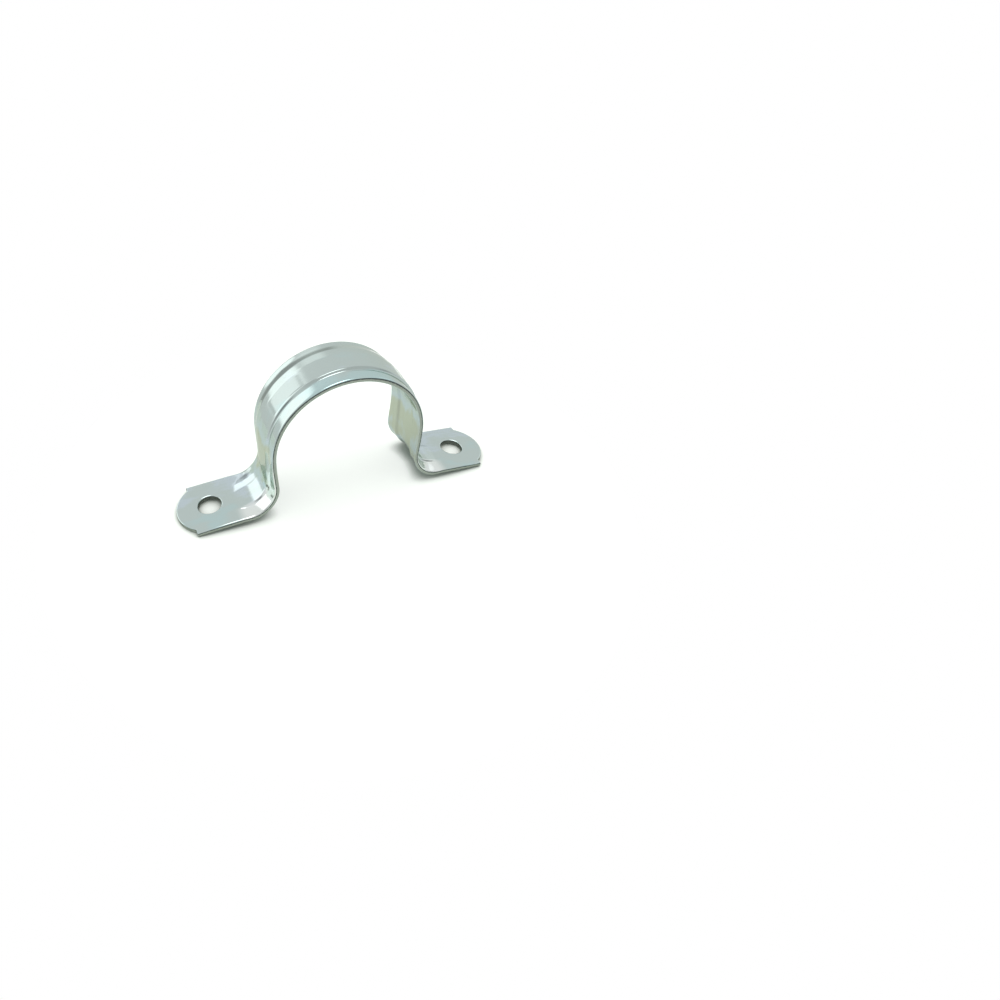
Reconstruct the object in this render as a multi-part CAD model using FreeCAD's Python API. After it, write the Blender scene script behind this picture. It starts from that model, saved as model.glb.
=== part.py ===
import FreeCAD, Part
import math
import os

V = FreeCAD.Vector

# Two-hole conduit strap, pressed from one strip of sheet steel, in millimetres.
# The wall plane is z = 0, where the tips of both feet touch it. X runs from foot to foot, Y along the conduit,
# and Z away from the wall. The arch is symmetric about x = 0 and the strip about y = 0.

# The conduit and the way that the arch grips it
conduit_diameter = 48.3
saddle_clearance = 0.1
grip_gap = 0.7

# The strip
sheet_thickness = 1.5
strip_width = 22.2

# The feet, the bend that joins each one to its leg, and the screw holes
foot_bend_radius = 11.5
foot_droop = 4.3
hole_spacing = 90.4
hole_diameter = 7.9
shoulder_setback = 6.2

# The pressed rib that stiffens the arch and both bends, and runs out on the feet
rib_width = 12.8
rib_height = 0.7
rib_flank_angle = 55.0
rib_edge_radius = 0.5
crown_rise = 0.25
crown_line_offset = 2.1
runout_reach = 1.2

# Depths to which one body is sunk into another, or past a face, before they are joined or cut
rib_root = 0.3
cut_margin = 1.0

# Worked out from the sizes above
saddle_radius = conduit_diameter / 2 + saddle_clearance
axis_height = saddle_radius - grip_gap
foot_end_radius = strip_width / 2
droop = math.radians(foot_droop)
flank = math.radians(rib_flank_angle)

# The hole's centre on the underside of the right foot, and the bend above which the leg is upright
hole_x = hole_spacing / 2
hole_z = foot_end_radius * math.sin(droop)
bend_x = saddle_radius + foot_bend_radius
bend_end_x = bend_x - foot_bend_radius * math.sin(droop)
bend_end_z = hole_z + (hole_x - bend_end_x) * math.tan(droop)
bend_z = bend_end_z + foot_bend_radius * math.cos(droop)
leg_length = axis_height - bend_z
foot_turn = 90.0 - foot_droop
foot_length = (hole_x - bend_end_x) / math.cos(droop) + shoulder_setback

ACROSS = V(0, 1, 0)
ARCH_AXIS = V(0, 0, axis_height)
BEND_AXIS = V(bend_x, 0, bend_z)


def rounded_face(corners, to_point):
    """Closes a wire through corners (u, v, radius), with an arc at each corner that has a radius, and fills it."""
    points = [to_point(u, v) for u, v, radius in corners]
    edges = []
    first = last = None
    for index, (u, v, radius) in enumerate(corners):
        here = points[index]
        back = (points[index - 1] - here).normalize()
        ahead = (points[(index + 1) % len(points)] - here).normalize()
        start = end = here
        if radius > 0:
            half = back.getAngle(ahead) / 2
            start = here + back * (radius / math.tan(half))
            end = here + ahead * (radius / math.tan(half))
            inward = (back + ahead).normalize()
            middle = here + inward * (radius / math.sin(half) - radius)
        if last is not None:
            edges.append(Part.LineSegment(last, start).toShape())
        if radius > 0:
            edges.append(Part.Arc(start, middle, end).toShape())
        first = first or start
        last = end
    edges.append(Part.LineSegment(last, first).toShape())
    return Part.Face(Part.Wire(edges))


def strip_section(corners):
    """Face across the strip at the foot of the arch, from (distance across, height above the inner face, radius)."""
    return rounded_face(corners, lambda across, height: V(saddle_radius + height, across, axis_height))


def turned(shape, turn):
    """Moves a face at the foot of the arch down its leg and round the foot bend by turn degrees."""
    shape = shape.translated(V(0, 0, -leg_length))
    return shape.rotate(BEND_AXIS, ACROSS, -turn)


def swept(section, turn, tail):
    """Sweeps a face over the arch, down both legs and round both bends by turn degrees, then straight on by tail."""
    arch = section.revolve(ARCH_AXIS, ACROSS, -180)
    leg = section.extrude(V(0, 0, -leg_length))
    bend = section.translated(V(0, 0, -leg_length)).revolve(BEND_AXIS, ACROSS, -turn)
    heading = V(math.sin(math.radians(turn)), 0, -math.cos(math.radians(turn)))
    foot = turned(section, turn).extrude(heading * tail)
    side = leg.fuse([bend, foot])
    return arch.fuse([side, side.mirror(V(0, 0, 0), V(1, 0, 0))]).removeSplitter()


def flat_strip():
    """The strip before its rib is pressed, with square feet that end at the shoulders."""
    half = strip_width / 2
    section = strip_section([(-half, 0, 0), (half, 0, 0), (half, sheet_thickness, 0), (-half, sheet_thickness, 0)])
    return swept(section, foot_turn, foot_length)


def rib_section(lift, inset, root, radius):
    """Crowned rib with sloping flanks on a face at height lift, drawn in by inset and carried down by root."""
    base = rib_width / 2 - inset
    top = base - rib_height / math.tan(flank)
    shoulder = lift + rib_height
    return strip_section([
        (-base, lift - root, 0), (base, lift - root, 0), (base, lift, 0), (top, shoulder, radius),
        (crown_line_offset, shoulder + crown_rise, 0), (-top, shoulder, radius), (-base, lift, 0)])


def rib_runout():
    """Turn at which the rib leaves its bend, and the length of the straight ramp on which it sinks into the foot."""
    face_radius = foot_bend_radius - sheet_thickness
    rib_radius = face_radius - rib_height
    to_end = math.hypot(face_radius, runout_reach)
    early = math.acos(rib_radius / to_end) - math.atan(runout_reach / face_radius)
    ramp = math.sqrt(to_end ** 2 - rib_radius ** 2) + crown_rise / math.sin(early) + rib_root
    return foot_turn - math.degrees(early), ramp


def on_right_foot(across, along, height=0.0):
    """Point on the right foot, along from its hole's centre towards the tip, height above its underside."""
    x = hole_x + along * math.cos(droop) + height * math.sin(droop)
    z = hole_z - along * math.sin(droop) + height * math.cos(droop)
    return V(x, across, z)


def foot_tip():
    """Rounded end of the right foot, concentric with its hole, that stands out between two square shoulders."""
    reach = math.sqrt(foot_end_radius ** 2 - shoulder_setback ** 2)
    corner_a = on_right_foot(-reach, shoulder_setback)
    corner_b = on_right_foot(reach, shoulder_setback)
    outline = [
        Part.Arc(corner_a, on_right_foot(0, foot_end_radius), corner_b).toShape(),
        Part.LineSegment(corner_b, corner_a).toShape()]
    return Part.Face(Part.Wire(outline)).extrude(on_right_foot(0, 0, sheet_thickness) - on_right_foot(0, 0))


def screw_hole():
    """Drill for the right foot's hole, square to the foot."""
    low = on_right_foot(0, 0, -cut_margin)
    high = on_right_foot(0, 0, sheet_thickness + cut_margin)
    return Part.makeCylinder(hole_diameter / 2, (high - low).Length, low, high - low)


def both_sides(shape):
    return [shape, shape.mirror(V(0, 0, 0), V(1, 0, 0))]


def conduit_strap():
    turn, ramp = rib_runout()
    raised = swept(rib_section(sheet_thickness, 0, rib_root, rib_edge_radius), turn, ramp)
    channel_inset = sheet_thickness * math.tan(flank / 2)
    channel = swept(rib_section(0, channel_inset, cut_margin, 0), turn, ramp)
    body = flat_strip().fuse(both_sides(foot_tip())).removeSplitter()
    body = body.fuse(raised).cut(channel)
    body = body.cut(both_sides(screw_hole())).removeSplitter()
    return body.Solids[0]


os.makedirs("parts", exist_ok=True)
strap = conduit_strap()
strap.exportStep("parts/strap.step")
print("strap", strap.isValid(), round(strap.Volume, 1), [round(v, 3) for v in (
    strap.BoundBox.XMin, strap.BoundBox.XMax, strap.BoundBox.YMin, strap.BoundBox.YMax,
    strap.BoundBox.ZMin, strap.BoundBox.ZMax)])
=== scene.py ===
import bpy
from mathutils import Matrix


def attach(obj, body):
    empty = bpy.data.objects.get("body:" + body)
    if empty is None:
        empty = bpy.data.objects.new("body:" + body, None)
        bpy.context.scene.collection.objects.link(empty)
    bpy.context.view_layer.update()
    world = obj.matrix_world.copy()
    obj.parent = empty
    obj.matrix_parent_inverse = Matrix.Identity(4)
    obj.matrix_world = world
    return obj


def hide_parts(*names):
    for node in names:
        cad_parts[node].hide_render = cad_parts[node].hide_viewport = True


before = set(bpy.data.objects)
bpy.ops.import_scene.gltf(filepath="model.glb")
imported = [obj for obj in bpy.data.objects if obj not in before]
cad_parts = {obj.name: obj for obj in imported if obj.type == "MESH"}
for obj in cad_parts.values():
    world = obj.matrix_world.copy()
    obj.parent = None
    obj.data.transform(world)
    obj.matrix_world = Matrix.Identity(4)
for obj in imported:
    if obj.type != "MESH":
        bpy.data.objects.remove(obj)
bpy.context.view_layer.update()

import math

import bmesh
import bpy
from bmesh.types import BMEdge, BMFace, BMVert
from bpy.props import FloatProperty, FloatVectorProperty, PointerProperty
from bpy.types import NodeSocket, Operator, Panel, PropertyGroup
from mathutils import Matrix, Vector

bl_info = {
    "name": "Conduit Strap",
    "version": (1, 0, 0),
    "blender": (4, 5, 0),
    "location": "View3D > Sidebar > Strap",
    "description": "Presses a two-hole conduit strap in zinc-plated sheet steel and sets up its studio",
    "category": "Object",
}

MM = 0.001
CAD_NODE = "strap"
BODY = "root"
STRIP_MAP = "strip"
DEPTH = "sheet_depth"
PAD = "imprint_pad"
ACROSS = Vector((0, 1, 0))

# Steps between rows of faces, in degrees on the arch and bends, and along the straight legs and feet
ARCH_STEP = 1.0
BEND_STEP = 2.0
LEG_STEP = 0.9 * MM
FOOT_STEP = 0.45 * MM

# Narrow borders of faces along the strip's edges, the foot's outline and the hole's rim, which keep the rounding crisp
STRIP_BORDER = 0.56 * MM
FOOT_BORDER = 0.52 * MM

# Close columns of faces reach this far out and in from the rib's base, and to each side of its crown line
FLANK_OUTSIDE = 0.9 * MM
FLANK_INSIDE = 2 * MM
CROWN_SIDE = 0.6 * MM

# The foot's rows of faces stop this far short of the hole's rim
HOLE_MARGIN = 1.8 * MM
HOLE_SEGMENTS = 72

# Edges that turn by more than this are rounded, and faces whose normals point less along the way out are cut wall
SHARP_ANGLE = math.radians(60)
WALL_LEAN = 0.35

# Share of the wall's height by which the texture moves on across the strip
WALL_SHARE = 0.3

# Reaches over which a form comes in and fades out, from the end of the arch or the start or end of the foot bend
SOFTER_FROM_ARCH = (-9 * MM, 2 * MM)
SOFTER_TO_BEND = (10 * MM, 4 * MM)
CURL_FROM_BEND = (-9 * MM, 3 * MM)
CURL_TO_END = (1.5 * MM, -5 * MM)

# Half widths of the soft sides and ends of the imprint pad
PAD_SIDE_SOFT = 0.1 * MM
PAD_END_SOFT = math.radians(2.2)

# The wrinkles: their middle beyond the rib's base and the bend's end, how far they spread, and radians per metre
WRINKLE_OUT, WRINKLE_PAST = 1.4 * MM, 0.6 * MM
WRINKLE_WIDTH, WRINKLE_LENGTH = 1.2 * MM, 2.1 * MM
WRINKLE_RATE, WRINKLE_SLANT = 3.5 / MM, 0.9 / MM

# Rounding where the sunk rib meets the foot: at most this, and never quite nothing
RUNOUT_SOFTNESS = 0.25 * MM
LEAST_SOFTNESS = 0.001 * MM


class StrapSizes(PropertyGroup):
    """Sizes of the pressed strip, as on the part's drawing, and of its worn and rounded forms"""

    saddle_radius: FloatProperty(
        name="Saddle radius", description="Inner radius of the arch", default=24.25 * MM, unit="LENGTH")
    grip_gap: FloatProperty(
        name="Grip gap", description="Height that the conduit stands clear before the screws pull it down",
        default=0.7 * MM, unit="LENGTH")
    sheet_thickness: FloatProperty(
        name="Sheet thickness", description="Thickness of the steel", default=1.5 * MM, unit="LENGTH")
    strip_width: FloatProperty(
        name="Strip width", description="Width of the strip along the conduit", default=22.2 * MM, unit="LENGTH")
    foot_bend_radius: FloatProperty(
        name="Foot bend radius", description="Radius of the underside of each foot bend",
        default=11.5 * MM, unit="LENGTH")
    foot_droop: FloatProperty(
        name="Foot droop", description="Slope of each foot towards its tip",
        default=math.radians(4.3), unit="ROTATION")
    hole_spacing: FloatProperty(
        name="Hole spacing", description="Distance between the screw holes", default=90.4 * MM, unit="LENGTH")
    hole_diameter: FloatProperty(
        name="Hole diameter", description="Diameter of each screw hole", default=7.9 * MM, unit="LENGTH")
    shoulder_setback: FloatProperty(
        name="Shoulder setback", description="Distance from a hole's centre to the square shoulders",
        default=6.2 * MM, unit="LENGTH")
    rib_width: FloatProperty(
        name="Rib width", description="Width of the raised rib at its base", default=12.8 * MM, unit="LENGTH")
    rib_height: FloatProperty(
        name="Rib height", description="Height of the rib at its edges", default=0.7 * MM, unit="LENGTH")
    rib_flank_angle: FloatProperty(
        name="Rib flank angle", description="Slope of the rib's flanks",
        default=math.radians(55), unit="ROTATION")
    crown_rise: FloatProperty(
        name="Crown rise", description="Further rise from the rib's edges to its crown line",
        default=0.25 * MM, unit="LENGTH")
    crown_line_offset: FloatProperty(
        name="Crown line offset", description="Distance of the crown line from the middle of the strip",
        default=2.1 * MM, unit="LENGTH")
    runout_reach: FloatProperty(
        name="Run-out reach", description="Distance that the rib carries on past its bend",
        default=1.2 * MM, unit="LENGTH")
    rib_softness: FloatProperty(
        name="Rib softness", description="Half width of the rounding at the rib's edges",
        default=0.26 * MM, unit="LENGTH")
    crown_softness: FloatProperty(
        name="Crown softness", description="Half width of the rounding along the crown line",
        default=0.16 * MM, unit="LENGTH")
    far_draw: FloatProperty(
        name="Far draw", description="Distance that the rib's worn far flank is drawn in at its top",
        default=1.1 * MM, unit="LENGTH")
    far_reach: FloatProperty(
        name="Far reach", description="Distance that the worn far flank reaches out past the rib's base",
        default=2.2 * MM, unit="LENGTH")
    far_softness: FloatProperty(
        name="Far softness", description="Half width of the rounding at both edges of the worn far flank",
        default=0.45 * MM, unit="LENGTH")
    near_softness: FloatProperty(
        name="Near softness", description="Half width of the rounding at the top of the rib's near flank",
        default=0.13 * MM, unit="LENGTH")
    leg_softness: FloatProperty(
        name="Leg softness", description="Further rounding at the rib's near edge on the legs",
        default=0.8 * MM, unit="LENGTH")
    channel_softness: FloatProperty(
        name="Channel softness", description="Half width of the rounding along the channel inside the rib",
        default=0.55 * MM, unit="LENGTH")
    pad_rise: FloatProperty(
        name="Pad rise", description="Height of the bare imprint pad on the left shoulder",
        default=0.1 * MM, unit="LENGTH")
    pad_near: FloatProperty(
        name="Pad near side", description="Distance of the pad's near side from the middle of the strip",
        default=5.3 * MM, unit="LENGTH")
    pad_far: FloatProperty(
        name="Pad far side", description="Distance of the pad's far side from the middle of the strip",
        default=1.3 * MM, unit="LENGTH")
    pad_top: FloatProperty(
        name="Pad top", description="Angle from the top of the arch to the pad's upper end",
        default=math.radians(31), unit="ROTATION")
    pad_foot: FloatProperty(
        name="Pad foot", description="Angle from the top of the arch to the pad's lower end",
        default=math.radians(57), unit="ROTATION")
    edge_curl: FloatProperty(
        name="Edge curl", description="Distance that the margins curl back where the foot bends are pressed",
        default=0.55 * MM, unit="LENGTH")
    crinkle: FloatProperty(
        name="Crinkle", description="Height of the wrinkles where the rib runs out", default=0.06 * MM,
        unit="LENGTH")
    edge_fall: FloatProperty(
        name="Edge fall", description="Depth by which the outer face falls away towards its sheared edges",
        default=0.06 * MM, unit="LENGTH")
    edge_roll: FloatProperty(
        name="Edge roll", description="Rounding that the press leaves along the outer edges",
        default=0.42 * MM, unit="LENGTH")
    burr_edge: FloatProperty(
        name="Burr edge", description="Rounding along the edges of the inner face",
        default=0.1 * MM, unit="LENGTH")


class PlatingLook(PropertyGroup):
    """Colours and finish of the zinc plating"""

    zinc: FloatVectorProperty(
        name="Zinc", description="Colour of the plated face", subtype="COLOR", size=3,
        min=0, max=1, default=(0.525, 0.61, 0.59))
    teal: FloatVectorProperty(
        name="Teal", description="Tint where the passivation is thinnest", subtype="COLOR", size=3,
        min=0, max=1, default=(0.49, 0.64, 0.64))
    lavender: FloatVectorProperty(
        name="Lavender", description="Tint where the passivation is thicker", subtype="COLOR", size=3,
        min=0, max=1, default=(0.555, 0.645, 0.685))
    straw: FloatVectorProperty(
        name="Straw", description="Tint where the passivation is thickest", subtype="COLOR", size=3,
        min=0, max=1, default=(0.53, 0.57, 0.47))
    # Painted highlight: a near-white colour on the near side of the legs, in place of the reflection of the bright
    # foot bends
    painted_highlight: FloatVectorProperty(
        name="Painted_Highlight", description="Colour where the die has rubbed the near side of the legs", subtype="COLOR",
        size=3, min=0, max=1, default=(0.93, 0.96, 0.93))
    cut_edge: FloatVectorProperty(
        name="Cut edge", description="Colour of the torn part of the sheared edge", subtype="COLOR", size=3,
        min=0, max=1, default=(0.42, 0.465, 0.415))
    # Painted shade: the smooth sheared band is coloured near black, in place of the dark room that its smooth metal
    # reflects
    shear_band_painted_dark: FloatVectorProperty(
        name="Sheared band", description="Colour of the smooth band at the top of the cut edge", subtype="COLOR",
        size=3, min=0, max=1, default=(0.09, 0.11, 0.105))
    roughness: FloatProperty(
        name="Roughness", description="Roughness of the plated face", default=0.13, min=0, max=1,
        subtype="FACTOR")
    pad_dulling: FloatProperty(
        name="Pad dulling", description="Part of its brightness that the coined pad loses", default=0.16, min=0,
        max=1, subtype="FACTOR")


class StudioSettings(PropertyGroup):
    """Floor, light and camera"""

    floor: FloatVectorProperty(
        name="Floor", description="Colour of the floor", subtype="COLOR", size=3,
        min=0, max=1, default=(0.475, 0.52, 0.47))
    floor_lift: FloatProperty(
        name="Floor lift", description="Light that the open floor adds, so that it shows white", default=0.6,
        min=0)
    floor_radius: FloatProperty(
        name="Floor radius", description="Radius of the round table top", default=0.1, unit="LENGTH")
    beyond_light: FloatProperty(
        name="Light beyond", description="Strength of the dim room beyond the table", default=0.45, min=0)
    glow_light: FloatProperty(
        name="Window glow", description="Strength of the soft glow beside the window", default=1.15, min=0)
    room_light: FloatProperty(
        name="Room light", description="Strength of the even light from all round", default=0.86, min=0)
    window_light: FloatProperty(
        name="Window light", description="Strength of the soft window behind and to the left",
        default=1.65, min=0)
    low_light: FloatProperty(
        name="Low light", description="Strength of the low patch beyond the table's right", default=1.4, min=0)
    side_light: FloatProperty(
        name="Side light", description="Strength of the small window behind and to the right", default=1.1, min=0)
    ceiling_light: FloatProperty(
        name="Ceiling light", description="Strength of the soft panel overhead", default=4.0, min=0)
    front_light: FloatProperty(
        name="Front light", description="Strength of the dim side of the room behind the camera",
        default=0.3, min=0)
    camera_distance: FloatProperty(
        name="Camera distance", description="Distance from the camera to the strap",
        default=201.9 * MM, unit="LENGTH")
    camera_azimuth: FloatProperty(
        name="Camera azimuth", description="Bearing of the camera", default=-0.3475, unit="ROTATION")
    camera_elevation: FloatProperty(
        name="Camera elevation", description="Height angle of the camera", default=0.6885, unit="ROTATION")
    camera_roll: FloatProperty(
        name="Camera roll", description="Turn of the camera about its line of sight", default=0.0067,
        unit="ROTATION")
    camera_target: FloatVectorProperty(
        name="Camera target", description="Point that the camera is aimed at", subtype="TRANSLATION", size=3,
        default=(-3.66 * MM, 0.0, 18.82 * MM))
    camera_shift: FloatVectorProperty(
        name="Camera shift", description="Shift of the picture across and up, as a share of its width",
        subtype="XYZ", size=2, default=(0.17244, -0.06004))
    camera_lens: FloatProperty(
        name="Camera lens", description="Focal length in millimetres on film 36 mm wide", default=21.776, min=1)


# The strip's path from the top of the arch to the right-hand tip

class StripPath:
    """Where the middle of the strip runs, worked out from the sizes."""

    def __init__(self, sizes):
        self.sizes = sizes
        self.radius = sizes.saddle_radius
        self.bend_radius = sizes.foot_bend_radius
        self.droop = sizes.foot_droop
        self.axis_height = self.radius - sizes.grip_gap
        self.foot_end_radius = sizes.strip_width / 2
        self.hole_x = sizes.hole_spacing / 2
        self.hole_z = self.foot_end_radius * math.sin(self.droop)
        self.bend_x = self.radius + self.bend_radius
        self.bend_end_x = self.bend_x - self.bend_radius * math.sin(self.droop)
        rise = (self.hole_x - self.bend_end_x) * math.tan(self.droop)
        self.bend_z = self.hole_z + rise + self.bend_radius * math.cos(self.droop)
        self.leg_length = self.axis_height - self.bend_z
        self.foot_turn = math.pi / 2 - self.droop
        self.foot_run = (self.hole_x - self.bend_end_x) / math.cos(self.droop)
        self.heading = Vector((math.cos(self.droop), 0, -math.sin(self.droop)))
        self.foot_up = Vector((math.sin(self.droop), 0, math.cos(self.droop)))
        self.arch_length = self.radius * math.pi / 2
        self.bend_start = self.arch_length + self.leg_length
        self.bend_end = self.bend_start + self.bend_radius * self.foot_turn

    def foot_matrix(self):
        """Turns (along, across, up) about the right hole's centre into the strap's own place."""
        columns = Matrix((self.heading, ACROSS, self.foot_up)).transposed()
        return Matrix.Translation((self.hole_x, 0, self.hole_z)) @ columns.to_4x4()

    def place(self, point):
        """Distance along the strip, height above its inner face and the way out, at a point of the right half."""
        from_arch = Vector((point.x, 0, point.z - self.axis_height))
        if from_arch.z >= 0:
            angle = math.atan2(from_arch.x, from_arch.z)
            return self.radius * angle, from_arch.length - self.radius, from_arch.normalized()
        if point.z >= self.bend_z and point.x < self.bend_x:
            return self.arch_length - from_arch.z, point.x - self.radius, Vector((1, 0, 0))
        from_bend = Vector((point.x - self.bend_x, 0, point.z - self.bend_z))
        turn = math.atan2(-from_bend.z, -from_bend.x)
        if turn <= self.foot_turn:
            way_out = -from_bend.normalized()
            return (self.bend_start + self.bend_radius * turn, self.bend_radius - from_bend.length, way_out)
        on_foot = point - Vector((self.hole_x, 0, self.hole_z))
        return (self.bend_end + self.foot_run + on_foot.dot(self.heading), on_foot.dot(self.foot_up), self.foot_up)

    def place_on_half(self, point):
        """The same at a point of either half, where distances along the left half are below 0."""
        side = -1 if point.x < 0 else 1
        along, height, way_out = self.place(Vector((side * point.x, point.y, point.z)))
        return side * along, height, Vector((side * way_out.x, 0, way_out.z))


# The rib

def rounded_corner(distance, half_width):
    """A ramp that starts at distance 0, with its corner rounded over half_width to each side."""
    if distance <= -half_width:
        return 0.0
    if distance >= half_width:
        return distance
    return (distance + half_width) ** 2 / (4 * half_width)


def profile_height(across, corners):
    """Height at a place across the strip, from corners (place, turn of the slope, half width of the rounding)."""
    return sum(turn * rounded_corner(across - at, soft) for at, turn, soft in corners)


def smooth_step(value, low, high):
    """Rises smoothly from 0 at low to 1 at high."""
    part = min(1.0, max(0.0, (value - low) / (high - low)))
    return part * part * (3 - 2 * part)


def fade(along, place, reach):
    """Rises smoothly from 0 to 1 over a reach that is measured from a place along the strip."""
    return smooth_step(along, place + reach[0], place + reach[1])


def within(value, low, high, soft):
    """1 between low and high and 0 outside, with ends that are soft to each side."""
    return smooth_step(value, low - soft, low + soft) * smooth_step(value, high + soft, high - soft)


def hump(value, middle, width):
    """Bell curve of height 1 about the middle."""
    return math.exp(-((value - middle) / width) ** 2)


def rib_slopes(sizes, base):
    """Width and slope of the flanks, and slopes of the near and far roof, where the rib is base wide to each side."""
    run = sizes.rib_height / math.tan(sizes.rib_flank_angle)
    near_roof = sizes.crown_rise / (base - run + sizes.crown_line_offset)
    far_roof = sizes.crown_rise / (base - run - sizes.crown_line_offset)
    return run, sizes.rib_height / run, near_roof, far_roof


def rib_profile(sizes, across, softer):
    """Height of the rib on the outer face, with its near edge rounded by softer as well and its far flank worn."""
    base = sizes.rib_width / 2
    run, slope, near_roof, far_roof = rib_slopes(sizes, base)
    far_top = base - sizes.far_draw
    far_end = base + sizes.far_reach
    far_slope = (sizes.rib_height + far_roof * (base - run - far_top)) / (far_end - far_top)
    return profile_height(across, [
        (-base, slope, sizes.rib_softness + softer),
        (run - base, near_roof - slope, sizes.near_softness + softer),
        (sizes.crown_line_offset, -far_roof - near_roof, sizes.crown_softness),
        (far_top, far_roof - far_slope, sizes.far_softness),
        (far_end, far_slope, sizes.far_softness)])


def channel_profile(sizes, across):
    """Depth of the channel that the rib leaves in the inner face."""
    base = sizes.rib_width / 2 - sizes.sheet_thickness * math.tan(sizes.rib_flank_angle / 2)
    run, slope, near_roof, far_roof = rib_slopes(sizes, base)
    soft = sizes.channel_softness
    return profile_height(across, [
        (-base, slope, soft), (run - base, near_roof - slope, soft),
        (sizes.crown_line_offset, -far_roof - near_roof, soft), (base - run, far_roof - slope, soft),
        (base, slope, soft)])


def rib_sink(path, along):
    """Depth that the rib's straight ramp has sunk by at a distance along the strip."""
    sizes = path.sizes
    face_radius = path.bend_radius - sizes.sheet_thickness
    rib_radius = face_radius - sizes.rib_height
    to_end = math.hypot(face_radius, sizes.runout_reach)
    early = math.acos(rib_radius / to_end) - math.atan(sizes.runout_reach / face_radius)
    leaves_bend = path.bend_end - path.bend_radius * early
    if along <= leaves_bend:
        return 0.0
    if along <= path.bend_end:
        turned = (along - leaves_bend) / path.bend_radius
        return rib_radius / math.cos(turned) - rib_radius
    at_end = rib_radius / math.cos(early) - rib_radius
    return at_end + (along - path.bend_end) * math.tan(early)


def imprint_pad(sizes, angle, across):
    """1 on the bare pad of the left shoulder and 0 off it, at an angle from the top of the arch."""
    ends = within(-angle, sizes.pad_top, sizes.pad_foot, PAD_END_SOFT)
    return ends * within(across, -sizes.pad_near, sizes.pad_far, PAD_SIDE_SOFT)


def margin_shape(path, along, across):
    """Curl of the margins at the foot bends, and the wrinkles beside the rib's run-outs."""
    sizes = path.sizes
    base = sizes.rib_width / 2
    out = max(0.0, abs(across) - base) / (sizes.strip_width / 2 - base)
    curled = fade(along, path.bend_start, CURL_FROM_BEND) * fade(along, path.bend_end, CURL_TO_END)
    past = along - path.bend_end
    beside = hump(abs(across) - base, WRINKLE_OUT, WRINKLE_WIDTH) * hump(past, WRINKLE_PAST, WRINKLE_LENGTH)
    wrinkle = math.sin(past * WRINKLE_RATE + across * WRINKLE_SLANT) * beside
    return sizes.crinkle * wrinkle - sizes.edge_curl * out ** 2 * curled


def edge_share(sizes, across):
    """0 on the open face, rising to 1 over the last millimetre to the sheared edge."""
    return max(0.0, 1 - (sizes.strip_width / 2 - abs(across)) / MM)


def press_rib(bm, path):
    """Raises the rib on both faces, lets it run out on the feet, and shapes the margins and the bare pad."""
    sizes = path.sizes
    pad = bm.verts.layers.float.new(PAD)
    for vert in bm.verts:
        across = vert.co.y
        on_half, height, way_out = path.place_on_half(vert.co)
        along = abs(on_half)
        outer = height > sizes.sheet_thickness / 2
        softer = sizes.leg_softness * fade(along, path.arch_length, SOFTER_FROM_ARCH)
        softer *= fade(along, path.bend_start, SOFTER_TO_BEND)
        lift = rib_profile(sizes, across, softer) if outer else channel_profile(sizes, across)
        sink = rib_sink(path, along)
        if sink > 0:
            soft = min(RUNOUT_SOFTNESS, sink / 2) + LEAST_SOFTNESS
            lift = rounded_corner(lift - sink, soft) - rounded_corner(-sink, soft)
        lift += margin_shape(path, along, across)
        if outer:
            vert[pad] = imprint_pad(sizes, on_half / path.radius, across)
            lift += sizes.pad_rise * vert[pad] - sizes.edge_fall * edge_share(sizes, across) ** 2
        vert.co += way_out * lift


# The strip itself

def strip_columns(sizes):
    """Stations across the strip and the number of columns up to each, close together where the rib's corners are."""
    half = sizes.strip_width / 2
    base = sizes.rib_width / 2
    crown = sizes.crown_line_offset
    return [
        (-half, 0), (STRIP_BORDER - half, 1), (-base - FLANK_OUTSIDE, 4), (FLANK_INSIDE - base, 18),
        (crown - CROWN_SIDE, 10), (crown + CROWN_SIDE, 8), (base - FLANK_INSIDE, 3), (base + FLANK_OUTSIDE, 18),
        (half - STRIP_BORDER, 4), (half, 1)]


def row_across(bm, path):
    """One row of edges across the strip at the top of the arch, on its inner face."""
    top = path.axis_height + path.radius
    stations = strip_columns(path.sizes)
    verts = [bm.verts.new((0, stations[0][0], top))]
    for (last, _), (across, columns) in zip(stations, stations[1:]):
        for step in range(columns):
            verts.append(bm.verts.new((0, last + (across - last) * (step + 1) / columns, top)))
    return verts + [bm.edges.new(pair) for pair in zip(verts, verts[1:])]


def run_straight(bm, row, way, length, step):
    """Extrudes a row of edges straight on, in short steps, and gives back its last row."""
    steps = max(1, round(length / step))
    for _ in range(steps):
        made = bmesh.ops.extrude_edge_only(bm, edges=[e for e in row if isinstance(e, BMEdge)])
        row = made["geom"]
        verts = [v for v in row if isinstance(v, BMVert)]
        bmesh.ops.translate(bm, verts=verts, vec=way * (length / steps))
        row = [g for g in row if not isinstance(g, BMFace)]
    return row


def bend_on(bm, row, centre, angle, step):
    """Spins a row of edges about an axis across the strip, and gives back its last row."""
    made = bmesh.ops.spin(
        bm, geom=row, cent=centre, axis=ACROSS, angle=angle, steps=round(abs(math.degrees(angle)) / step))
    return [g for g in made["geom_last"] if not isinstance(g, BMFace)]


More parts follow.
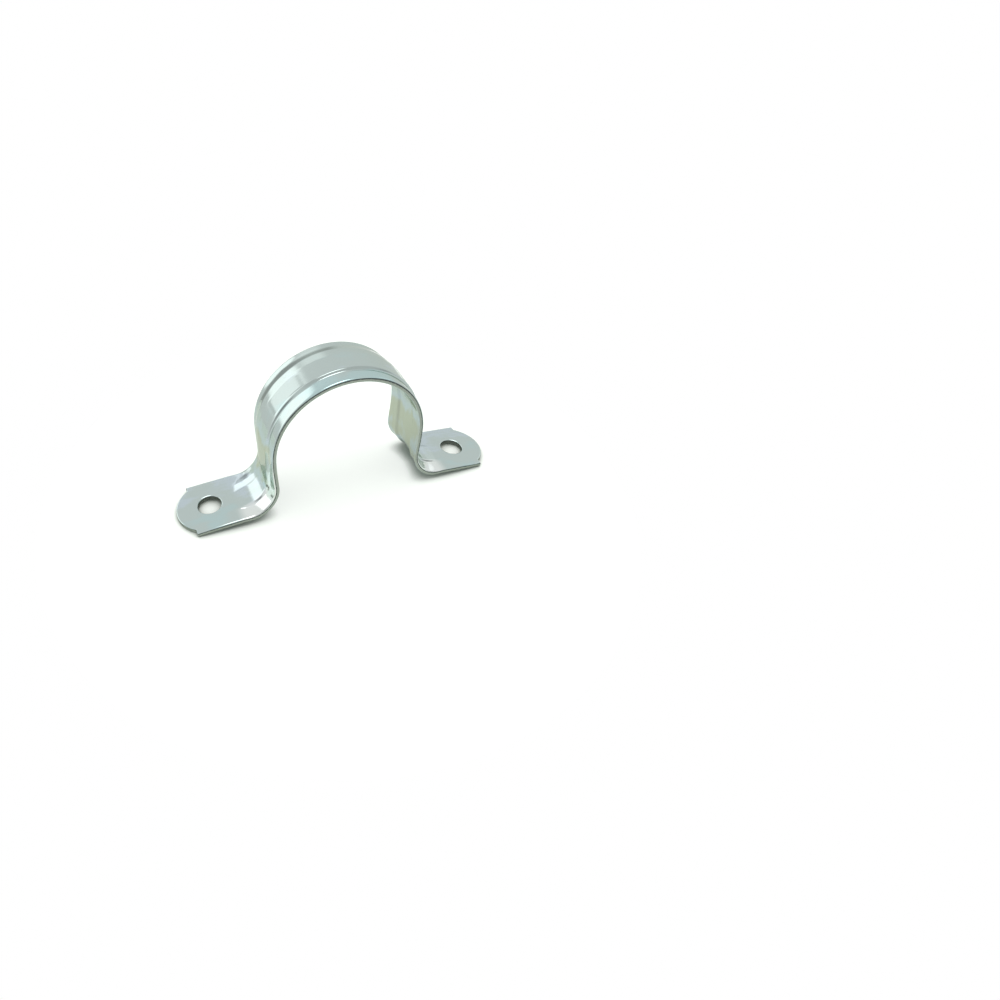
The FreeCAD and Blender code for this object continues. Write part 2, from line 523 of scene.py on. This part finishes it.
def foot_outline(bm, path, row):
    """Draws the edges of the foot from the strip's last row round both shoulders and the tip."""
    sizes = path.sizes
    matrix = path.foot_matrix()
    half = sizes.strip_width / 2
    reach = math.sqrt(half ** 2 - sizes.shoulder_setback ** 2)
    ends = sorted((v for v in row if isinstance(v, BMVert)), key=lambda v: v.co.y)
    shoulders = []
    for end, side in ((ends[0], -1), (ends[-1], 1)):
        shoulder = bm.verts.new(matrix @ Vector((sizes.shoulder_setback, side * half, 0)))
        bm.edges.new((end, shoulder))
        shoulders.append(shoulder)
    corner = bm.verts.new(matrix @ Vector((sizes.shoulder_setback, -reach, 0)))
    bm.edges.new((shoulders[0], corner))
    made = bmesh.ops.spin(
        bm, geom=[corner], cent=matrix.translation, axis=path.foot_up, angle=2 * math.asin(reach / half), steps=40)
    far_corner = next(g for g in made["geom_last"] if isinstance(g, BMVert))
    bm.edges.new((far_corner, shoulders[1]))
    return [e for e in bm.edges if not e.link_faces]


def fill_foot(bm, path, row):
    """Fills the foot round its screw hole, with a narrow border along the outline and round the hole's rim."""
    outline = foot_outline(bm, path, row)
    row_edges = [e for e in row if isinstance(e, BMEdge)]
    blank = bmesh.ops.contextual_create(bm, geom=outline + row_edges)["faces"][0]
    bmesh.ops.inset_region(bm, faces=[blank], use_boundary=True, use_even_offset=True, thickness=FOOT_BORDER)
    inside = list(blank.edges)
    bmesh.ops.delete(bm, geom=[blank], context="FACES_ONLY")
    hole_radius = path.sizes.hole_diameter / 2
    rings = []
    for radius in (hole_radius, hole_radius + FOOT_BORDER):
        ring = bmesh.ops.create_circle(bm, segments=HOLE_SEGMENTS, radius=radius, matrix=path.foot_matrix())
        rings.append(list({e for v in ring["verts"] for e in v.link_edges}))
    bmesh.ops.bridge_loops(bm, edges=rings[0] + rings[1])
    filled = bmesh.ops.triangle_fill(bm, edges=inside + rings[1], use_beauty=True, normal=path.foot_up)["geom"]
    edges = {e for g in filled if isinstance(g, BMFace) for e in g.edges}
    bmesh.ops.dissolve_degenerate(bm, dist=2e-6, edges=list(edges))


def press_blank(bm, path):
    """Half of the strip's inner face, from the top of the arch to one tip, then mirrored to the other side."""
    row = row_across(bm, path)
    arch_axis = Vector((0, 0, path.axis_height))
    bend_axis = Vector((path.bend_x, 0, path.bend_z))
    row = bend_on(bm, row, arch_axis, math.pi / 2, ARCH_STEP)
    row = run_straight(bm, row, Vector((0, 0, -1)), path.leg_length, LEG_STEP)
    row = bend_on(bm, row, bend_axis, -path.foot_turn, BEND_STEP)
    row = run_straight(
        bm, row, path.heading, path.foot_run - path.sizes.hole_diameter / 2 - HOLE_MARGIN, FOOT_STEP)
    fill_foot(bm, path, row)
    bmesh.ops.mirror(bm, geom=bm.verts[:] + bm.edges[:] + bm.faces[:], axis="X", merge_dist=1e-6)
    bmesh.ops.recalc_face_normals(bm, faces=bm.faces)
    bm.normal_update()
    crown = max(bm.faces, key=lambda face: face.calc_center_median().z)
    if crown.normal.z < 0:
        bmesh.ops.reverse_faces(bm, faces=bm.faces)


def thicken(bm, path):
    """Extrudes the blank outwards by the sheet's thickness."""
    made = bmesh.ops.extrude_face_region(bm, geom=bm.faces[:])
    for vert in made["geom"]:
        if isinstance(vert, BMVert):
            vert.co += path.place_on_half(vert.co)[2] * path.sizes.sheet_thickness
    bm.normal_update()


def wall_edges(bm, path, outer):
    """Edges between the cut wall of the strip and its outer or inner face."""
    found = []
    for edge in bm.edges:
        if len(edge.link_faces) == 2 and edge.calc_face_angle() > SHARP_ANGLE:
            middle = (edge.verts[0].co + edge.verts[1].co) / 2
            if (path.place_on_half(middle)[1] > path.sizes.sheet_thickness / 2) == outer:
                found.append(edge)
    return found


def map_strip(bm, path):
    """Lays the strip's own coordinates over the mesh, notes each point's depth and gives the cut wall its finish."""
    strip = bm.loops.layers.uv.new(STRIP_MAP)
    depth = bm.verts.layers.float.new(DEPTH)
    thickness = path.sizes.sheet_thickness
    placed = {vert: path.place_on_half(vert.co) for vert in bm.verts}
    for vert, (_, height, _) in placed.items():
        vert[depth] = height / thickness
    for face in bm.faces:
        face.smooth = True
        way_out = placed[face.verts[0]][2]
        if abs(face.normal.dot(way_out)) < WALL_LEAN:
            face.material_index = 1
        for loop in face.loops:
            along, height, _ = placed[loop.vert]
            loop[strip].uv = (along, loop.vert.co.y + WALL_SHARE * (thickness - height))


class STRAP_OT_press(Operator):
    """Press the strap from its strip, with its rib, feet, holes and rounded edges"""

    bl_idname = "strap.press"
    bl_label = "Press the strap"

    def execute(self, context):
        sizes = context.scene.strap_sizes
        path = StripPath(sizes)
        bm = bmesh.new()
        press_blank(bm, path)
        thicken(bm, path)
        for outer, offset, segments in ((True, sizes.edge_roll, 4), (False, sizes.burr_edge, 2)):
            bmesh.ops.bevel(
                bm, geom=wall_edges(bm, path, outer), offset=offset, offset_type="OFFSET", segments=segments,
                profile=0.5, affect="EDGES", material=-1)
        map_strip(bm, path)
        press_rib(bm, path)
        mesh = bpy.data.meshes.new("conduit_strap")
        bm.to_mesh(mesh)
        bm.free()
        strap = bpy.data.objects.new("conduit_strap", mesh)
        context.scene.collection.objects.link(strap)
        look = context.scene.plating_look
        groups = (passivation_and_painted_light_group(), rolled_group())
        mesh.materials.append(plated_face(look, groups))
        mesh.materials.append(sheared_edge(look, groups, sizes))
        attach(strap, BODY)
        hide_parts(CAD_NODE)
        return {"FINISHED"}


# Finishes

# Masks along the strip: millimetres from the top of the arch at which each ramp is 0 and 1
WORKED = ((26, 40), (68, 58))
LEG = ((28, 40), (57, 50))
BEND = ((50, 58), (70, 64))
FOOT = ((60, 68),)
NEAR = ((19, 10),)
# Where the painted highlight lies along the legs, and where less of it lies on the bends
PAINTED_HIGHLIGHT_ALONG = ((34, 44), (69, 65))
PAINTED_HIGHLIGHT_LESS = ((50, 54),)
# Where the painted shade lies along the creases
NEAR_CREASE = ((16, 10),)
CROWN_CREASE = ((55, 59), (68, 65))

# Masks across the strip, in the same way, from its middle or from the middle of a crease
NEAR_SIDE = ((-5.5, -7.5),)
# Where the painted highlight lies across the strip, on its near side
PAINTED_HIGHLIGHT_SIDE = ((-5.0, -6.6),)
CREASE_SIDE = ((0.6, 0.2),)
NEAR_CREASE_AT = -6.1
CROWN_CREASE_AT = 2.3

# Shares by which the painted highlight is less on the bends and by which the painted shade darkens the creases
PAINTED_HIGHLIGHT_LOSS = 0.35
CREASE_SHADE = 0.22

# Thickness of the passivation film, and what its drift, its flecks and each zone add to it
FILM = 0.46
FILM_DRIFT = 0.2
FILM_FLECKS = 0.07
FILM_LEG = 0.26
FILM_BEND = 0.08
FILM_FOOT_PER_METRE = 9.0
FILM_NEAR = -0.15
FILM_INSIDE = -0.02

# The tints and the painted highlight, as the group and the look name them, and the film thickness over which each tint
# gives way to the next
TINTS = ("Zinc", "Teal", "Lavender", "Straw", "Painted_Highlight")
TEAL_TO_ZINC = (0.30, 0.44)
ZINC_TO_LAVENDER = (0.50, 0.60)
LAVENDER_TO_STRAW = (0.62, 0.72)
# Patches and flecks of the painted highlight
PAINTED_HIGHLIGHT_PATCHES = (0.15, 0.45)
PAINTED_HIGHLIGHT_FLECKS = 0.3

# Repeats per metre along and across the strip
DRIFT_SCALE = (75, 110, 1)
FLECK_SCALE = (300, 700, 1)
LINE_SCALE = (90, 2600, 1)
WAVE_SCALE = (300, 520, 1)
MARK_SCALE = (900, 2600, 1)
TEAR_SCALE = 1100
GRAIN_SCALE = 3000

# The rolled texture: height of its lines, further height of its waves on the worked parts, and spreads of roughness
LINE_HEIGHT = 0.5
WORKED_WAVES = 2.2
MARK_ROUGHNESS = 0.08
LINE_ROUGHNESS = 0.05
FACE_BUMP = 0.012 * MM
EDGE_BUMP = 0.05 * MM

# The metal at grazing angles, and the further roughness of the pad and of the torn band
GRAZING_TINT = (0.8, 0.83, 0.78, 1)
BLACK = (0, 0, 0, 1)
PAD_ROUGHNESS = 0.04
EDGE_ROUGHNESS = 0.2
TORN_ROUGHNESS = 0.28

# Depths in the sheet, from 0 on the inner face to 1 on the outer one, over which its bands change
INNER_SIDE = (0.6, 0.4)
TORN_BAND = (0.68, 0.58)
ROLLED_EDGE = (0.86, 0.94)
TEAR_SPREAD = 0.16

# Shade in the screw holes: how far beyond the rim it is 0 and 1, the depths where it is 0 and 1, and its strength
HOLE_SHADE_REACH = (1.25 * MM, 0.65 * MM)
HOLE_SHADE_DEPTH = (0.94, 0.84)
HOLE_SHADE = 0.6


def feed(tree, sockets, values):
    """Gives each socket a link or a value, and leaves it alone where there is none."""
    for socket, given in zip(sockets, values):
        if isinstance(given, NodeSocket):
            tree.links.new(given, socket)
        elif given is not None:
            socket.default_value = given


def added(tree, kind, inputs, **settings):
    """Adds a node with its settings, and feeds its inputs by name."""
    node = tree.nodes.new(kind)
    for name, setting in settings.items():
        setattr(node, name, setting)
    feed(tree, [node.inputs[label] for label in inputs], inputs.values())
    return node


def math_node(tree, operation, first, second=None):
    """Adds a Math node, with each input a socket or a number, and gives back its value."""
    node = tree.nodes.new("ShaderNodeMath")
    node.operation = operation
    feed(tree, node.inputs, (first, second))
    return node.outputs["Value"]


def separated(tree, vector):
    """The X, Y and Z of a vector."""
    return added(tree, "ShaderNodeSeparateXYZ", {"Vector": vector}).outputs


def ramp(tree, value, low, high):
    """Rises smoothly from 0 at low to 1 at high, in nodes."""
    given = {"Value": value, "From Min": low, "From Max": high}
    return added(tree, "ShaderNodeMapRange", given, interpolation_type="SMOOTHSTEP").outputs["Result"]


def blended(tree, factor, first, second, kind="FLOAT"):
    """Mixes two strengths or two colours, each a socket or a value."""
    node = tree.nodes.new("ShaderNodeMix")
    node.data_type = kind
    feed(tree, [i for i in node.inputs if i.enabled], (factor, first, second))
    return next(o for o in node.outputs if o.enabled)


def noise(tree, vector, scale, detail=2.0, distortion=0.0):
    """Soft noise from 0 to 1 over a vector."""
    given = {"Vector": vector, "Scale": scale, "Detail": detail, "Distortion": distortion}
    return added(tree, "ShaderNodeTexNoise", given).outputs["Fac"]


def stretched(tree, vector, stretch, shift=(0, 0, 0)):
    """A vector scaled along each axis and moved on."""
    given = {"Vector": vector, "Scale": stretch, "Location": shift}
    return added(tree, "ShaderNodeMapping", given).outputs["Vector"]


def new_group(name, inputs, outputs):
    """Shader node group with named sockets, and its input and output nodes."""
    group = bpy.data.node_groups.new(name, "ShaderNodeTree")
    for way, sockets in (("INPUT", inputs), ("OUTPUT", outputs)):
        for label, kind in sockets:
            group.interface.new_socket(label, in_out=way, socket_type=kind)
    return group, group.nodes.new("NodeGroupInput").outputs, group.nodes.new("NodeGroupOutput").inputs


def total(tree, *terms):
    """Adds any number of sockets or numbers."""
    value = terms[0]
    for term in terms[1:]:
        value = math_node(tree, "ADD", value, term)
    return value


def product(tree, *terms):
    """Multiplies any number of sockets or numbers."""
    value = terms[0]
    for term in terms[1:]:
        value = math_node(tree, "MULTIPLY", value, term)
    return value


def spread(tree, value, amount):
    """Turns a noise about 0.5 into one about 0 that reaches amount to each side."""
    return product(tree, math_node(tree, "SUBTRACT", value, 0.5), 2 * amount)


def mask(tree, value, reaches):
    """Product of smooth ramps over reaches in millimetres, each given as the places where it is 0 and 1."""
    return product(tree, *(ramp(tree, value, low * MM, high * MM) for low, high in reaches))


def strip_place(group, strip):
    """Distances along either half of the strip and across it, from the strip's own coordinates."""
    place = separated(group, strip)
    return math_node(group, "ABSOLUTE", place["X"]), place["Y"]


def painted_highlight_mask(group, along, across):
    """Where the painted highlight lies on the near side of the legs, and a little less of it on the bends."""
    less = total(group, 1.0, product(group, mask(group, along, PAINTED_HIGHLIGHT_LESS), -PAINTED_HIGHLIGHT_LOSS))
    return product(group, mask(group, across, PAINTED_HIGHLIGHT_SIDE), mask(group, along, PAINTED_HIGHLIGHT_ALONG), less)


def crease_mask(group, along, across):
    """The creases at the foot of the rib's near flank, over the arch, and beside the crown line in the bends, where
    painted shade darkens the colour.
    """
    creases = []
    for middle, reaches in ((NEAR_CREASE_AT, NEAR_CREASE), (CROWN_CREASE_AT, CROWN_CREASE)):
        away = math_node(group, "ABSOLUTE", total(group, across, -middle * MM))
        creases.append(product(group, mask(group, away, CREASE_SIDE), mask(group, along, reaches)))
    return total(group, *creases)


def passivation_and_painted_light_group():
    """Faint straw, lavender and teal tints that drift over the plating, with a painted highlight on the near side of
    the legs and painted shade along the creases, from the strip's own coordinates.
    """
    colour = "NodeSocketColor"
    group, given, out = new_group(
        "Passivation Tint and Painted Light",
        [("Strip", "NodeSocketVector"), *((name, colour) for name in TINTS), ("Inside", "NodeSocketFloat")],
        [("Color", colour)])
    along, across = strip_place(group, given["Strip"])
    broad = noise(group, stretched(group, given["Strip"], DRIFT_SCALE, (0.3, 0.1, 0)), 1.0, 1.5, 0.4)
    fine = noise(group, stretched(group, given["Strip"], FLECK_SCALE), 1.0, 3.0)
    near = product(group, mask(group, across, NEAR_SIDE), mask(group, along, NEAR))
    film = total(
        group, FILM, spread(group, broad, FILM_DRIFT), spread(group, fine, FILM_FLECKS),
        product(group, mask(group, along, LEG), FILM_LEG), product(group, mask(group, along, BEND), FILM_BEND),
        product(group, mask(group, along, FOOT), across, FILM_FOOT_PER_METRE), product(group, near, FILM_NEAR),
        product(group, given["Inside"], FILM_INSIDE))
    tint = blended(group, ramp(group, film, *TEAL_TO_ZINC), given["Teal"], given["Zinc"], "RGBA")
    tint = blended(group, ramp(group, film, *ZINC_TO_LAVENDER), tint, given["Lavender"], "RGBA")
    tint = blended(group, ramp(group, film, *LAVENDER_TO_STRAW), tint, given["Straw"], "RGBA")
    outside = ramp(group, given["Inside"], *INNER_SIDE)
    # Painted highlight: a patchy near-white streak on the near side of the legs, in place of the reflection of the
    # bright bends
    patches = ramp(group, total(group, broad, spread(group, fine, PAINTED_HIGHLIGHT_FLECKS)), *PAINTED_HIGHLIGHT_PATCHES)
    highlight_share = product(group, painted_highlight_mask(group, along, across), outside, patches)
    tint = blended(group, highlight_share, tint, given["Painted_Highlight"], "RGBA")
    # Painted shade: darker along the creases at the rib's near flank and beside the crown line
    crease = product(group, crease_mask(group, along, across), outside, CREASE_SHADE)
    group.links.new(blended(group, crease, tint, BLACK, "RGBA"), out["Color"])
    return group


def rolled_group():
    """Rolling lines, waviness that is stronger on the worked legs, and handling marks, as a height and a roughness."""
    value = "NodeSocketFloat"
    group, given, out = new_group(
        "Rolled Sheet", [("Strip", "NodeSocketVector"), ("Roughness", value)],
        [("Height", value), ("Roughness", value)])
    worked = mask(group, strip_place(group, given["Strip"])[0], WORKED)
    lines = noise(group, stretched(group, given["Strip"], LINE_SCALE), 1.0, 3.0)
    waves = noise(group, stretched(group, given["Strip"], WAVE_SCALE), 1.0, 2.0, 0.3)
    marks = noise(group, stretched(group, given["Strip"], MARK_SCALE, (0.2, 0.7, 0)), 1.0, 4.0)
    wavier = total(group, product(group, worked, WORKED_WAVES), 1.0)
    group.links.new(total(group, product(group, lines, LINE_HEIGHT), product(group, waves, wavier)), out["Height"])
    rough = total(
        group, spread(group, marks, MARK_ROUGHNESS), spread(group, lines, LINE_ROUGHNESS), given["Roughness"])
    group.links.new(rough, out["Roughness"])
    return group


def placed_group(tree, group, values):
    """Places a group in a material with its own values, and gives back its outputs."""
    return added(tree, "ShaderNodeGroup", values, node_tree=group).outputs


def attribute(tree, name):
    """Value that the mesh carries at each point."""
    return added(tree, "ShaderNodeAttribute", {}, attribute_name=name).outputs["Fac"]


def plated_material(name, look, groups, roughness, bump_height):
    """Zinc plating with its bump, its colour carrying the tints, the painted highlight and the painted shade. Gives
    back the material, and the tint, sheet outputs and bump to build on.
    """
    tint_and_painted_light_group, sheet_group = groups
    material = bpy.data.materials.new(name)
    material.use_nodes = True
    tree = material.node_tree
    shader = tree.nodes["Principled BSDF"]
    shader.inputs["Metallic"].default_value = 1.0
    shader.inputs["Specular Tint"].default_value = GRAZING_TINT
    strip = added(tree, "ShaderNodeUVMap", {}, uv_map=STRIP_MAP).outputs["UV"]
    tint = placed_group(tree, tint_and_painted_light_group, {
        "Strip": strip, **{name: (*getattr(look, name.lower()), 1) for name in TINTS},
        "Inside": ramp(tree, attribute(tree, DEPTH), *INNER_SIDE)})
    sheet = placed_group(tree, sheet_group, {"Strip": strip, "Roughness": roughness})
    bump = added(tree, "ShaderNodeBump", {"Distance": bump_height, "Height": sheet["Height"]})
    tree.links.new(bump.outputs["Normal"], shader.inputs["Normal"])
    return material, tint["Color"], sheet, bump


def plated_face(look, groups):
    """Plated face, a little duller on the coined pad."""
    material, colour, sheet, _ = plated_material("zinc_plated_face", look, groups, look.roughness, FACE_BUMP)
    tree = material.node_tree
    shader = tree.nodes["Principled BSDF"]
    pad = attribute(tree, PAD)
    duller = blended(tree, product(tree, pad, look.pad_dulling), colour, BLACK, "RGBA")
    tree.links.new(duller, shader.inputs["Base Color"])
    roughness = total(tree, sheet["Roughness"], product(tree, pad, PAD_ROUGHNESS))
    tree.links.new(roughness, shader.inputs["Roughness"])
    return material


def hole_mask(tree, place, sizes):
    """1 at the walls of both screw holes."""
    part = separated(tree, place)
    reach = [sizes.hole_diameter / 2 + beyond for beyond in HOLE_SHADE_REACH]
    from_middle = math_node(tree, "ABSOLUTE", part["X"])
    along = math_node(tree, "ABSOLUTE", total(tree, from_middle, -sizes.hole_spacing / 2))
    across = math_node(tree, "ABSOLUTE", part["Y"])
    return product(tree, ramp(tree, along, *reach), ramp(tree, across, *reach))


def sheared_edge(look, groups, sizes):
    """Cut edge: a smooth sheared band next to the outer face, painted near black as shade in place of the dark room
    that it reflects, a torn, paler band below it, and painted shade on the walls of the screw holes.
    """
    material, colour, sheet, bump = plated_material("zinc_sheared_edge", look, groups, EDGE_ROUGHNESS, EDGE_BUMP)
    tree = material.node_tree
    shader = tree.nodes["Principled BSDF"]
    place = tree.nodes.new("ShaderNodeTexCoord").outputs["Object"]
    tear = total(tree, attribute(tree, DEPTH), spread(tree, noise(tree, place, TEAR_SCALE, 3.0), TEAR_SPREAD))
    torn = ramp(tree, tear, *TORN_BAND)
    # Painted shade: the smooth band below the rolled edge takes the near-black colour
    sheared = blended(tree, ramp(tree, tear, *ROLLED_EDGE), (*look.shear_band_painted_dark, 1), colour, "RGBA")
    wall = blended(tree, torn, sheared, (*look.cut_edge, 1), "RGBA")
    shade = product(tree, hole_mask(tree, place, sizes), ramp(tree, tear, *HOLE_SHADE_DEPTH), HOLE_SHADE)
    tree.links.new(blended(tree, shade, wall, BLACK, "RGBA"), shader.inputs["Base Color"])
    grain = noise(tree, place, GRAIN_SCALE, 2.0)
    tree.links.new(total(tree, sheet["Height"], product(tree, torn, grain)), bump.inputs["Height"])
    roughness = total(tree, sheet["Roughness"], product(tree, torn, TORN_ROUGHNESS))
    tree.links.new(roughness, shader.inputs["Roughness"])
    return material


# Studio

# The floor counts as open where little stands within this distance, and shows this much of its lift in the metal
OPEN_DISTANCE = 6.5 * MM
OPEN_FLOOR = (0.40, 0.97)
LIFT_IN_METAL = 0.62

# Patches of the room, as middle, half size and softness of their bearing and of their rise, in degrees. The front is
# dim. The others lie over it in this order, each with the studio setting that gives its strength.
FRONT = ((5, 62, 12), (2, 20, 6))
PATCHES = (
    ("glow_light", (-2, 11, 5), (26, 9, 5)),
    ("side_light", (63, 12, 4), (24, 10, 4)),
    ("low_light", (37, 13, 5), (-29, 8, 2)),
    ("window_light", (-47, 30, 2), (14.5, 18.5, 2.5)),
    ("beyond_light", (-2, 20, 5), (-8, 20, 4)))
CEILING = (math.radians(70), math.radians(78))


def floor_finish(colour, lift):
    """Pale floor that shows white where it lies open, to the camera and in the metal, and still takes the shadow."""
    material = bpy.data.materials.new("studio_floor")
    material.use_nodes = True
    tree = material.node_tree
    tree.nodes.clear()
    rays = tree.nodes.new("ShaderNodeLightPath").outputs
    in_metal = product(tree, rays["Is Glossy Ray"], LIFT_IN_METAL)
    seen = total(tree, rays["Is Camera Ray"], in_metal, rays["Is Transmission Ray"])
    open_floor = added(tree, "ShaderNodeAmbientOcclusion", {"Distance": OPEN_DISTANCE}).outputs["AO"]
    lifted = product(tree, seen, ramp(tree, open_floor, *OPEN_FLOOR), lift)
    diffuse = added(tree, "ShaderNodeBsdfDiffuse", {"Color": (*colour, 1)})
    glow = added(tree, "ShaderNodeEmission", {"Strength": lifted})
    both = tree.nodes.new("ShaderNodeAddShader")
    feed(tree, both.inputs, (diffuse.outputs["BSDF"], glow.outputs["Emission"]))
    added(tree, "ShaderNodeOutputMaterial", {"Surface": both.outputs["Shader"]})
    return material


def band(tree, value, middle, half, soft):
    """1 within half of the middle and 0 outside, with soft edges, all in degrees."""
    away = math_node(tree, "ABSOLUTE", math_node(tree, "SUBTRACT", value, math.radians(middle)))
    return ramp(tree, away, math.radians(half + soft), math.radians(half - soft))


def studio_room(studio):
    """White to the camera. The metal sees an even room with a dim front, soft bright patches and a soft ceiling."""
    world = bpy.data.worlds.new("studio_room")
    world.use_nodes = True
    tree = world.node_tree
    background = tree.nodes["Background"]
    background.inputs["Color"].default_value = (1, 1, 1, 1)
    way = separated(tree, tree.nodes.new("ShaderNodeTexCoord").outputs["Generated"])
    bearing = math_node(tree, "ARCTAN2", way["X"], way["Y"])
    front_bearing = math_node(tree, "ARCTAN2", way["X"], product(tree, way["Y"], -1))
    rise = math_node(tree, "ARCSINE", way["Z"])
    front = product(tree, band(tree, front_bearing, *FRONT[0]), band(tree, rise, *FRONT[1]))
    strength = blended(tree, front, studio.room_light, studio.front_light)
    for setting, bearings, rises in PATCHES:
        patch = product(tree, band(tree, bearing, *bearings), band(tree, rise, *rises))
        strength = blended(tree, patch, strength, getattr(studio, setting))
    strength = blended(tree, ramp(tree, rise, *CEILING), strength, studio.ceiling_light)
    rays = tree.nodes.new("ShaderNodeLightPath")
    strength = blended(tree, rays.outputs["Is Camera Ray"], strength, 1.0)
    tree.links.new(strength, background.inputs["Strength"])
    return world


def aimed_camera(studio):
    """Camera at its bearing, height angle and distance from the point that it is aimed at."""
    camera = bpy.data.cameras.new("camera")
    camera.lens = studio.camera_lens
    camera.sensor_width = 36
    camera.shift_x, camera.shift_y = studio.camera_shift
    camera.clip_start = 5 * MM
    view = bpy.data.objects.new("camera", camera)
    azimuth, elevation = studio.camera_azimuth, studio.camera_elevation
    back = Vector((
        math.sin(azimuth) * math.cos(elevation), -math.cos(azimuth) * math.cos(elevation), math.sin(elevation)))
    view.location = Vector(studio.camera_target) + back * studio.camera_distance
    aim = (-back).to_track_quat("-Z", "Y").to_matrix()
    view.rotation_euler = (aim @ Matrix.Rotation(studio.camera_roll, 3, "Z")).to_euler()
    return view


class STRAP_OT_studio(Operator):
    """Lay the floor and set the light and the camera"""

    bl_idname = "strap.studio"
    bl_label = "Set up the studio"

    def execute(self, context):
        scene = context.scene
        studio = scene.strap_studio
        bm = bmesh.new()
        bmesh.ops.create_circle(bm, cap_ends=True, segments=128, radius=studio.floor_radius)
        mesh = bpy.data.meshes.new("studio_floor")
        bm.to_mesh(mesh)
        bm.free()
        floor = bpy.data.objects.new("studio_floor", mesh)
        scene.collection.objects.link(floor)
        mesh.materials.append(floor_finish(studio.floor, studio.floor_lift))

        scene.world = studio_room(studio)
        scene.camera = aimed_camera(studio)
        scene.collection.objects.link(scene.camera)
        scene.view_settings.view_transform = "Standard"
        return {"FINISHED"}


class STRAP_PT_sidebar(Panel):
    """Sizes, finish and studio of the strap"""

    bl_label = "Conduit Strap"
    bl_idname = "STRAP_PT_sidebar"
    bl_space_type = "VIEW_3D"
    bl_region_type = "UI"
    bl_category = "Strap"

    def draw(self, context):
        layout = self.layout
        for group in (context.scene.strap_sizes, context.scene.plating_look, context.scene.strap_studio):
            box = layout.box()
            for name in group.__annotations__:
                box.prop(group, name)
        layout.operator(STRAP_OT_press.bl_idname)
        layout.operator(STRAP_OT_studio.bl_idname)


CLASSES = (StrapSizes, PlatingLook, StudioSettings, STRAP_OT_press, STRAP_OT_studio, STRAP_PT_sidebar)


def register():
    for cls in CLASSES:
        bpy.utils.register_class(cls)
    bpy.types.Scene.strap_sizes = PointerProperty(type=StrapSizes)
    bpy.types.Scene.plating_look = PointerProperty(type=PlatingLook)
    bpy.types.Scene.strap_studio = PointerProperty(type=StudioSettings)


def unregister():
    del bpy.types.Scene.strap_studio
    del bpy.types.Scene.plating_look
    del bpy.types.Scene.strap_sizes
    for cls in reversed(CLASSES):
        bpy.utils.unregister_class(cls)


def main():
    register()
    bpy.ops.strap.press()
    bpy.ops.strap.studio()


if __name__ == "__main__":
    main()
